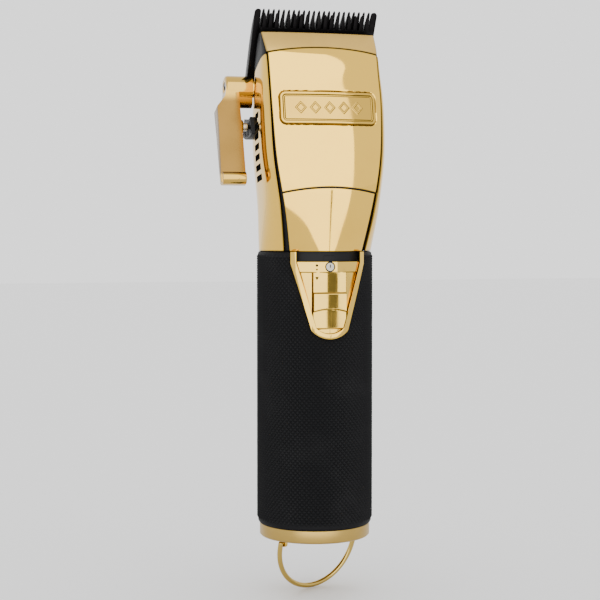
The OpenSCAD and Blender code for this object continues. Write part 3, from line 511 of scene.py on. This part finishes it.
def ease(value, low, high):
    """0 below low, 1 above high, with a rounded step between."""
    t = np.clip((value - low) / (high - low), 0, 1)
    return t * t * (3 - 2 * t)


def on_disc(u, v, radius):
    """Spreads a square grid over a round face: how far across and up each point lies."""
    a, b = 2 * u - 1, 2 * v - 1
    return radius * a * np.sqrt(1 - b * b / 2), radius * b * np.sqrt(1 - a * a / 2)


def make_front_plate():
    """Upper plate, with the bed that the badge sits in."""
    margin, bed = 0.35 * MM, 0.6 * MM

    def depth(x, z):
        edge = inside_badge(x, z, BADGE_HALF, BADGE_ROUND)
        return bed * ease(edge, -margin, 0.05 * MM)

    plate = front_sheet(130, 150, lambda z: seam_half(z, seam_gap(z)), crease, plate_edge)
    # painted shade: the bed under the badge is painted darker the deeper it lies
    note_painted_shade(plate, lambda x, z: ease(depth(x, z), 0.1 * MM, 0.5 * MM))
    press(plate, depth)
    # painted shade on the plate's rim, for the walls of the seam
    paint_rim_shade(plate)
    thicken(plate, PLATE_WALL, 0.3 * MM)
    hand_over(plate, "front_plate_skin", FINISHES["gold_polished"], "body", "front_plate")


def make_neck_plate():
    """Lower plate, set back a little under the crease."""
    plate = front_sheet(90, 70, lambda z: seam_half(z, seam_gap(z)), lambda x: GRIP_TOP + 0 * x,
                        lambda x: crease(x) - 0.42 * MM, lambda z: 0.45 * MM * np.clip(up_head(z) * 3, 0, 1))
    # painted shade on the plate's rim, for the walls of the seam
    paint_rim_shade(plate)
    thicken(plate, PLATE_WALL, 0.25 * MM)
    hand_over(plate, "neck_plate_skin", FINISHES["gold_polished"], "body", "neck_plate")


def make_lip():
    """Satin band between the front plate and the blade."""
    def half(z):
        turn = np.radians(30 - 14 * np.clip((z - PLATE_TOP + ARCH) / (LIP_TOP - PLATE_TOP + ARCH), 0, 1))
        return half_width(z) * np.cos(turn) ** (2 / front_square(up_head(z)))
    lip = front_sheet(90, 22, half, lambda x: plate_edge(x) + 0.38 * MM, lambda x: LIP_TOP + 0 * x)
    # painted shade on the lip's rim, for the walls of the seam
    paint_rim_shade(lip)
    thicken(lip, 1.3 * MM, 0.25 * MM)
    hand_over(lip, "nose_lip", FINISHES["gold_satin"], "body", "nose_band")


def make_painted_seam_shade():
    """Black sheet under the seams round the front plates: painted shade, a dark stand-in for the shade inside the
    seams.
    """
    liner = front_sheet(80, 80, lambda z: seam_half(z) + 0.9 * MM, lambda x: GRIP_TOP + 0.3 * MM + 0 * x,
                        lambda x: LIP_TOP - 2.5 * MM + 0 * x, lambda z: 1.0 * MM + 0 * z)
    modify(liner, "SOLIDIFY", thickness=0.3 * MM, offset=-1)
    shade(liner, 40)
    hand_over(liner, "painted_seam_shade", FINISHES["black_plastic"], "body", slot="black_plastic")


def make_badge():
    """Badge with a raised round frame, a groove, a raised inner plate and a row of lozenges."""
    def height(x, z):
        edge = inside_badge(x, z, BADGE_HALF, BADGE_ROUND) / MM
        frame_rise = ease(edge, 0.0, 0.4) - ease(edge, 1.05, 1.35)
        inner_rise = ease(edge, 1.6, 1.85)
        step = np.mod(x / MM + 2.5, 5) - 2.5
        lozenge = 1 - np.abs(step) / 2.0 - np.abs(z - BADGE_Z) / (2.2 * MM)
        in_row = (np.abs(x) < 12.5 * MM) * 1.0
        rim = ease(lozenge, 0.0, 0.12) - ease(lozenge, 0.3, 0.42)
        return (0.52 * frame_rise + 0.3 * inner_rise + 0.24 * rim * in_row - 0.15) * MM

    def place(u, v):
        x = (2 * u - 1) * BADGE_HALF[0]
        z = BADGE_Z + (2 * v - 1) * BADGE_HALF[1]
        reach = BADGE_ROUND - np.sqrt(np.clip(BADGE_ROUND ** 2 - np.clip(
            np.abs(z - BADGE_Z) - BADGE_HALF[1] + BADGE_ROUND, 0, None) ** 2, 0, None))
        x = x * (BADGE_HALF[0] - reach) / BADGE_HALF[0]
        return x, front_depth(x, z), z

    badge = sheet_of(250, 90, place)
    face_outwards(badge)
    reach = 0.06 * MM

    # painted shade: the steep walls of the frame, groove and lozenges are painted dark, standing in for the dark
    # reflections they show
    def slope(x, z):
        across = height(x + reach, z) - height(x - reach, z)
        up = height(x, z + reach) - height(x, z - reach)
        return np.hypot(across, up) / (2 * reach) * 0.95
    note_painted_shade(badge, slope)
    press(badge, lambda x, z: -height(x, z))
    modify(badge, "SOLIDIFY", thickness=0.7 * MM, offset=-1)
    shade(badge, 60)
    hand_over(badge, "badge", FINISHES["gold_badge"], "body", "name_plate")


def make_rear_housing():
    """Polished shell round the sides and the back, from one seam to the other."""
    columns, rows = 210, 110
    levels = np.linspace(GRIP_TOP - 1 * MM, PLATE_TOP + 1 * MM, 300)
    fine = np.linspace(0, 1, 1500)

    def ring(z):
        """The section from one seam round the back to the other, evenly spaced along its length."""
        n, w, m = float(front_square(up_head(z))), float(half_width(z)), float(middle(z))
        r, back = float(rear_square(up_head(z))), float(back_face(z))
        open_by = 0.2 * MM + 0.3 * MM * max(0.0, 1 - float(up_head(z)) / 0.75)
        turn = math.acos(min(1.0, (float(seam_share(up_head(z))) + open_by / w) ** (n / 2)))
        t = -turn + (math.pi + 2 * turn) * fine
        c, s = np.cos(t), np.sin(t)
        rear = s >= 0
        power = np.where(rear, 2 / r, 2 / n)
        x = w * np.sign(c) * np.abs(c) ** power
        y = m + np.where(rear, back - m, m - float(front_face(z))) * np.sign(s) * np.abs(s) ** power
        along = np.concatenate([[0], np.cumsum(np.hypot(np.diff(x), np.diff(y)))])
        even = np.linspace(0, along[-1], columns + 1)
        return np.interp(even, along, x), np.interp(even, along, y)

    rings = np.array([ring(z) for z in levels])

    def on_ring(column, z):
        i = np.clip(np.searchsorted(levels, z) - 1, 0, len(levels) - 2)
        t = ((z - levels[i]) / (levels[i + 1] - levels[i]))[:, None]
        return rings[i, :, column] * (1 - t) + rings[i + 1, :, column] * t

    def place(u, v):
        column = np.rint(u * columns).astype(int)
        top = np.full(len(u), PLATE_TOP - 4 * MM)
        for _ in range(12):
            top = housing_edge(on_ring(column, top)[:, 1])
        z = GRIP_TOP + (top - GRIP_TOP) * v
        x, y = on_ring(column, z).T
        return x, y, z

    shell = sheet_of(columns, rows, place)
    face_outwards(shell)
    # painted shade on the housing's rim, for the walls of the seam
    paint_rim_shade(shell)
    thicken(shell, 1.4 * MM, 0.3 * MM)
    hand_over(shell, "rear_housing_skin", FINISHES["gold_polished"], "body", "rear_housing")


def eased_copy(node, edge, angle=30, segments=2, name=None, material=None):
    """A copy of a CAD node with its sharp edges broken."""
    take(NODES[node])
    bpy.ops.object.duplicate()
    piece = bpy.context.object
    bpy.ops.object.parent_clear(type="CLEAR_KEEP_TRANSFORM")
    for key in list(piece.keys()):
        del piece[key]
    bpy.ops.object.mode_set(mode="EDIT")
    bpy.ops.mesh.select_all(action="SELECT")
    bpy.ops.mesh.remove_doubles(threshold=0.000002)
    bpy.ops.mesh.dissolve_limited(angle_limit=math.radians(0.6))
    bpy.ops.object.mode_set(mode="OBJECT")
    modify(piece, "BEVEL", width=edge, segments=segments, limit_method="ANGLE", angle_limit=math.radians(angle))
    shade(piece, 32)
    body = next(b for b, nodes in frame["record"]["behaviour"]["bodies"].items() if node in nodes)
    return hand_over(piece, name or node + "_eased", material or FINISHES[SLOT_OF[node]], body, node)


def wedge_half(z, inset):
    """Half width of the bezel's wedge at a height, drawn in by an inset."""
    foot_z, foot_r = GRIP_TOP - 27.1 * MM, 8.7 * MM
    share = np.clip((np.asarray(z, float) - foot_z) / (23.0 * MM), 0, 1)
    side = (6.5 + 6.6 * share) * MM - inset / np.where(share < 1, 0.961, 1)
    drop = foot_z + foot_r - 2.9 * MM - np.asarray(z, float)
    foot = np.sqrt(np.clip((foot_r - inset) ** 2 - np.clip(drop, 0, None) ** 2, 0, None))
    return np.maximum(np.minimum(side, np.where(drop > foot_r - 2.9 * MM - inset, foot, side)), 0)


SLIDER_LOW, SLIDER_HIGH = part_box("power_slider")[0].z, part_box("power_slider")[1].z
SLIDER_R = 20.2 * MM
COLUMN = 5.8 * MM


def slider_face(x, z):
    """Y of the slider's face: a land across the top, a flat column down the middle, a thumb ridge across it."""
    land_step, ridge_step, foot_step = (6.95, 7.15), (13.9, 14.5), (26.2, 27.0)  # mm below the grip's top
    x, z = np.asarray(x, float), np.asarray(z, float)
    down = (GRIP_TOP - z) / MM
    round_face = -np.sqrt(SLIDER_R ** 2 - x ** 2)
    top_land = -np.sqrt((SLIDER_R + 0.5 * MM) ** 2 - x ** 2)
    arch = 19.6 + 0.9 * np.clip(np.abs(x) / COLUMN, 0, 1) ** 2
    ridge = ease(down, *ridge_step) * (1 - ease(down, arch - 0.1, arch + 0.25))
    pad = -(20.32 + 0.8 * ridge) * MM
    beside = ease(np.abs(x), COLUMN, COLUMN + 0.35 * MM)
    foot = ease(down, *foot_step)
    column = pad * (1 - beside) + np.minimum(round_face, 0) * beside
    column = column * (1 - foot) + (round_face + 0.25 * MM) * foot
    column = np.minimum(column, round_face + 0.12 * MM * (1 - foot))
    top = 1 - ease(down, *land_step)
    return column * (1 - top) + top_land * top


def make_slider():
    """The slider's face, with painted shade on the walls where it steps."""
    def place(u, v):
        z = SLIDER_LOW + (SLIDER_HIGH - SLIDER_LOW) * v
        x = (2 * u - 1) * np.maximum(wedge_half(z, 1.9 * MM), 0.4 * MM)
        return x, slider_face(x, z), z
    slider = sheet_of(120, 170, place)
    face_outwards(slider)
    reach = 0.1 * MM

    # painted shade: the steep steps of the face are painted dark
    def slope(x, z):
        drop = (slider_face(x, z + reach) - slider_face(x, z - reach)) / (2 * reach)
        across = (slider_face(x + reach, z) - slider_face(x - reach, z)) / (2 * reach)
        return ease(np.hypot(drop, np.maximum(np.abs(across) - 0.65, 0)), 0.1, 1.2) * 0.85
    note_painted_shade(slider, slope)
    thicken(slider, 0.8 * MM, 0.12 * MM, 2)
    hand_over(slider, "slider_face", FINISHES["gold_slider"], "slider", "power_slider")


def print_patch(name, body, corners, lay):
    """A thin printed patch: flat outline corners (a, b) laid on a surface by lay(a, b)."""
    rest_hands()
    bpy.ops.mesh.primitive_circle_add(vertices=len(corners), radius=1 * MM, fill_type="NGON")
    patch = bpy.context.object
    a, b = np.array(corners, float).T
    patch.data.vertices.foreach_set("co", np.stack(lay(a, b), 1).ravel())
    patch.data.update()
    face_outwards(patch)
    modify(patch, "SOLIDIFY", thickness=PRINT_THICK, offset=-1)
    return hand_over(patch, name, INK, body, slot="black_plastic")


def make_slider_marks():
    """Printed dots, arrow and ring on the slider, and the small domed window in the ring."""
    def on_slider(a, b):
        return a, slider_face(a, b) - PRINT_PROUD, b
    turns = np.linspace(0, 2 * math.pi, 20, endpoint=False)
    arrow = np.array([math.pi / 2, math.pi * 7 / 6, math.pi * 11 / 6]) + math.pi
    x = -4.6
    for name, down, r, t in (("slider_dot", 4.7, 0.42, turns), ("slider_dot_small", 6.1, 0.3, turns),
                             ("slider_arrow", 9.0, 0.75, arrow)):
        corners = zip((x + r * np.cos(t)) * MM, GRIP_TOP - down * MM + r * np.sin(t) * MM)
        print_patch(name, "slider", list(corners), on_slider)

    def place(u, v):
        t, r = 2 * math.pi * u, (1.4 + 0.38 * v) * MM
        x, z = r * np.cos(t), GRIP_TOP - LENS_DOWN + r * np.sin(t)
        return x, slider_face(x, z) - PRINT_PROUD, z
    ring = sheet_of(48, 1, place)
    face_outwards(ring)
    modify(ring, "SOLIDIFY", thickness=PRINT_THICK, offset=-1)
    hand_over(ring, "lens_ring", INK, "slider", slot="black_plastic")

    def dome(u, v):
        x, up = on_disc(u, v, LENS_R)
        z = GRIP_TOP - LENS_DOWN + up
        return x, slider_face(x, z) - 0.02 * MM - 0.12 * MM * (1 - np.hypot(x, up) / LENS_R), z
    lens = sheet_of(20, 20, dome)
    face_outwards(lens)
    modify(lens, "SOLIDIFY", thickness=0.2 * MM, offset=-1)
    shade(lens, 30)
    hand_over(lens, "status_window", FINISHES["lens_white"], "slider", "status_lens")
    half, top, foot = 0.16 * MM, GRIP_TOP - 4.4 * MM, GRIP_TOP - 5.5 * MM
    print_patch("power_stroke", "slider", [(-half, top), (half, top), (half, foot), (-half, foot)],
                lambda a, b: (a, slider_face(a, b) - 0.17 * MM, b))


def side_reach(y, z):
    """X of the left side of the housing at a depth and a height."""
    n, r, m, w = front_square(up_head(z)), rear_square(up_head(z)), middle(z), half_width(z)
    ahead = y < m
    share = np.where(ahead, (m - y) / (m - front_face(z)), (y - m) / (back_face(z) - m))
    power = np.where(ahead, n, r)
    return -w * (1 - np.clip(share, 0, 1) ** power) ** (1 / power)


def make_side_marks():
    """Printed graduation on the left side: slanted bars that grow towards the grip."""
    bars, first_up, pitch, slant, bar_h = 7, 48.5, 3.6, 0.9 * MM, 2.1 * MM
    for i in range(bars):
        z = GRIP_TOP + (first_up - pitch * i) * MM
        front, rear = (-7.2 - 0.3 * i) * MM, (-2.6 + 0.2 * i) * MM
        outline = [(front + (rear - front) * t, z - slant * t) for t in (0, 0.25, 0.5, 0.75, 1)]
        outline += [(y, bar_z - bar_h) for y, bar_z in reversed(outline)]
        print_patch(f"side_mark_{i + 1}", "body", outline,
                    lambda a, b: (side_reach(a, b) - 0.05 * MM, a, b))


def make_slot_seal():
    """Black seal that closes the slider's slot above its stem."""
    def place(u, v):
        x = (2 * u - 1) * 1.85 * MM
        return x, -np.sqrt((19.05 * MM) ** 2 - x ** 2), GRIP_TOP + (-8 + 6.5 * v) * MM
    seal = sheet_of(6, 6, place)
    face_outwards(seal)
    modify(seal, "SOLIDIFY", thickness=0.5 * MM, offset=-1)
    hand_over(seal, "slot_seal", FINISHES["black_plastic"], "body", slot="black_plastic")


BACK_AT_SCREWS = HEAD_BACK + 0.2 * MM


def make_screw_heads():
    """The two pan heads on the back, each domed, with a six-sided socket."""
    low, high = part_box("housing_screws")
    r = 2.1 * MM
    heads = []
    for z in (low.z + r, high.z - r):
        def place(u, v, z=z):
            x, up = on_disc(u, v, r)
            out = np.hypot(x, up) / r
            across_flats = np.maximum(np.abs(up), np.abs(up) / 2 + np.abs(x) * 0.866)
            socket = 1 - ease(across_flats, 0.74 * MM, 0.86 * MM)
            rise = 0.72 * MM * np.sqrt(np.clip(1 - 0.75 * out ** 3, 0, 1)) - 0.5 * MM * socket
            return x, BACK_AT_SCREWS + rise, z + up
        head = sheet_of(36, 36, place)
        face_outwards(head)
        modify(head, "SOLIDIFY", thickness=0.35 * MM, offset=-1)
        shade(head, 30)
        heads.append(head)
    rest_hands()
    for head in heads:
        head.select_set(True)
    bpy.context.view_layer.objects.active = heads[0]
    bpy.ops.object.join()
    hand_over(heads[0], "housing_screw_heads", FINISHES["dark_screw"], "body", "housing_screws")


KNURL_AROUND, KNURL_ROWS = 78, 56
KNURL_LOW, KNURL_HIGH = CAP_H + 1.5 * MM, GRIP_TOP - 1.1 * MM
KNURL_PEAK = 0.48 * MM
KNURL_ROOT = GRIP_R - 0.5 * MM


def grip_outline():
    """Height and radius of each row of the sleeve: rounded foot, knurled band, rounded top that turns inwards."""
    foot = [(CAP_H, GRIP_R - 1.1 * MM), (CAP_H + 0.3 * MM, GRIP_R - 0.75 * MM), (CAP_H + 0.8 * MM, KNURL_ROOT)]
    band = [(KNURL_LOW + (KNURL_HIGH - KNURL_LOW) * i / KNURL_ROWS, KNURL_ROOT) for i in range(KNURL_ROWS + 1)]
    top = [(GRIP_TOP - 0.6 * MM, GRIP_R - 0.55 * MM), (GRIP_TOP - 0.25 * MM, GRIP_R - 0.85 * MM),
           (GRIP_TOP - 0.12 * MM, GRIP_R - 1.2 * MM), (GRIP_TOP - 0.12 * MM, GRIP_R - 1.6 * MM)]
    return np.array(foot + band + top).T


def make_grip():
    """Sleeve with a fine diamond knurl, cut away in front for the bezel."""
    heights, radii = grip_outline()
    last = len(heights) - 1

    def place(u, v):
        angle = 2 * math.pi * np.rint(u * KNURL_AROUND) / KNURL_AROUND
        row = np.rint(v * last).astype(int)
        return radii[row] * np.sin(angle), -radii[row] * np.cos(angle), heights[row]

    grip = sheet_of(KNURL_AROUND, last, place)
    take(grip)
    bpy.ops.object.mode_set(mode="EDIT")
    bpy.ops.mesh.select_all(action="SELECT")
    bpy.ops.mesh.remove_doubles(threshold=0.01 * MM)
    bpy.ops.object.mode_set(mode="OBJECT")
    face_outwards(grip)

    # each square of the band is poked into four triangles, and dropping the old edges pairs those into diamonds
    choose_faces(grip, lambda face: KNURL_LOW < face.center.z < KNURL_HIGH)
    bpy.ops.object.mode_set(mode="OBJECT")
    corners = {v for face in grip.data.polygons if face.select for v in face.vertices}
    bpy.ops.object.mode_set(mode="EDIT")
    bpy.ops.mesh.poke()
    bpy.ops.mesh.select_mode(type="EDGE")
    bpy.ops.mesh.select_all(action="DESELECT")
    bpy.ops.object.mode_set(mode="OBJECT")

    def inside_band(vertex):
        return KNURL_LOW + 0.01 * MM < grip.data.vertices[vertex].co.z < KNURL_HIGH - 0.01 * MM

    grip.data.edges.foreach_set("select", [
        all(v in corners for v in edge.vertices) and any(inside_band(v) for v in edge.vertices)
        for edge in grip.data.edges])
    bpy.ops.object.mode_set(mode="EDIT")
    bpy.ops.mesh.dissolve_edges(use_verts=False)
    choose_faces(grip, lambda face: len(face.vertices) == 4 and KNURL_LOW < face.center.z < KNURL_HIGH)
    bpy.ops.mesh.poke(offset=KNURL_PEAK)

    # window for the bezel
    rim = 0.8 * MM
    window_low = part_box("switch_bezel")[0].z + rim
    choose_faces(grip, lambda face: face.center.y < 0 and face.center.z > window_low
                 and abs(face.center.x) < wedge_half(face.center.z, rim))
    bpy.ops.mesh.delete(type="FACE")
    bpy.ops.object.mode_set(mode="OBJECT")
    modify(grip, "SOLIDIFY", thickness=0.5 * MM, offset=-1)
    shade(grip, 20)
    hand_over(grip, "grip_knurl", FINISHES["grip_rubber"], "body", "grip_sleeve")


# ---------- making ----------
for make in (make_front_plate, make_neck_plate, make_lip, make_painted_seam_shade, make_badge, make_rear_housing, make_grip,
             make_slider, make_slider_marks, make_side_marks, make_slot_seal, make_screw_heads):
    make()

EASED = {"end_cap": 0.35, "taper_lever": 0.4, "switch_bezel": 0.35, "fixed_blade": 0.1,
         "moving_blade": 0.08, "detent_plate": 0.15, "blade_screws": 0.12, "cap_screws": 0.12, "bail_lugs": 0.2,
         "detent_plunger": 0.1, "lever_bushing": 0.15, "cheeks": 0.15}
for node, edge in EASED.items():
    eased_copy(node, edge * MM)
for name, node in NODES.items():
    node.data.materials.clear()
    node.data.materials.append(FINISHES[SLOT_OF[name]])


# ---------- stage ----------
def make_stage():
    rest_hands()
    bpy.ops.mesh.primitive_plane_add(size=6, location=(0, 0, cad_box[0][2] - 0.2 * MM))
    floor = bpy.context.object
    floor.name = "floor"
    pale = Sheet("pale_floor", Base_Color=(0.9, 0.9, 0.9), Roughness=0.6)
    floor.data.materials.append(pale.material)
    world = bpy.data.worlds.new("studio")
    bpy.context.scene.world = world
    world.use_nodes = True
    world.node_tree.nodes["Background"].inputs["Color"].default_value = (1, 1, 1, 1)
    world.node_tree.nodes["Background"].inputs["Strength"].default_value = 1.6


def hide_from_camera(piece):
    piece.visible_camera = False
    return piece


def softbox(name, bearing, distance, low, high, width, radiance):
    """An upright light panel facing the object, at a bearing from the front in degrees. It leaves the floor dark."""
    light = bpy.data.lights.new(name, "AREA")
    light.shape, light.size, light.size_y = "RECTANGLE", width, high - low
    light.energy = radiance * math.pi * width * (high - low)
    holder = bpy.data.objects.new(name, light)
    bpy.context.collection.objects.link(holder)
    turn = math.radians(bearing)
    holder.location = (distance * math.sin(turn), -distance * math.cos(turn), (low + high) / 2)
    holder.rotation_euler = (math.radians(90), 0, turn)
    unlit = bpy.data.collections.new(name + "_unlit")
    unlit.objects.link(bpy.data.objects["floor"])
    holder.light_linking.receiver_collection = unlit
    unlit.collection_objects[0].light_linking.link_state = "EXCLUDE"
    return hide_from_camera(holder)


def dark_flag(name, bearing, distance, low, high, width):
    """A dark card standing in front of the light, for the dark lines that polish shows."""
    rest_hands()
    turn = math.radians(bearing)
    bpy.ops.mesh.primitive_plane_add(size=1, location=(distance * math.sin(turn), -distance * math.cos(turn),
                                                       (low + high) / 2), rotation=(math.radians(90), 0, turn))
    card = bpy.context.object
    card.name = name
    card.scale = (width, high - low, 1)
    card.data.materials.append(Sheet(name, Base_Color=(0.2, 0.2, 0.2), Roughness=1.0,
                                     Specular_IOR_Level=0.0).material)
    return hide_from_camera(card)


def make_camera():
    lens = bpy.data.cameras.new("camera")
    holder = bpy.data.objects.new("camera", lens)
    bpy.context.collection.objects.link(holder)
    bearing, distance, eye = math.radians(15), 532 * MM, 109.7 * MM
    holder.location = (-distance * math.sin(bearing), -distance * math.cos(bearing), eye)
    holder.rotation_euler = (math.radians(90 - 2.79), 0, math.radians(0.56) - bearing)
    lens.lens, lens.sensor_width = 89.7, 36
    bpy.context.scene.camera = holder


make_stage()
softbox("key", bearing=-10, distance=0.365, low=-0.0195, high=0.9, width=0.6, radiance=2.5)
dark_flag("low_flag", bearing=14.9, distance=0.331, low=0.0, high=0.122, width=0.0058)
make_camera()
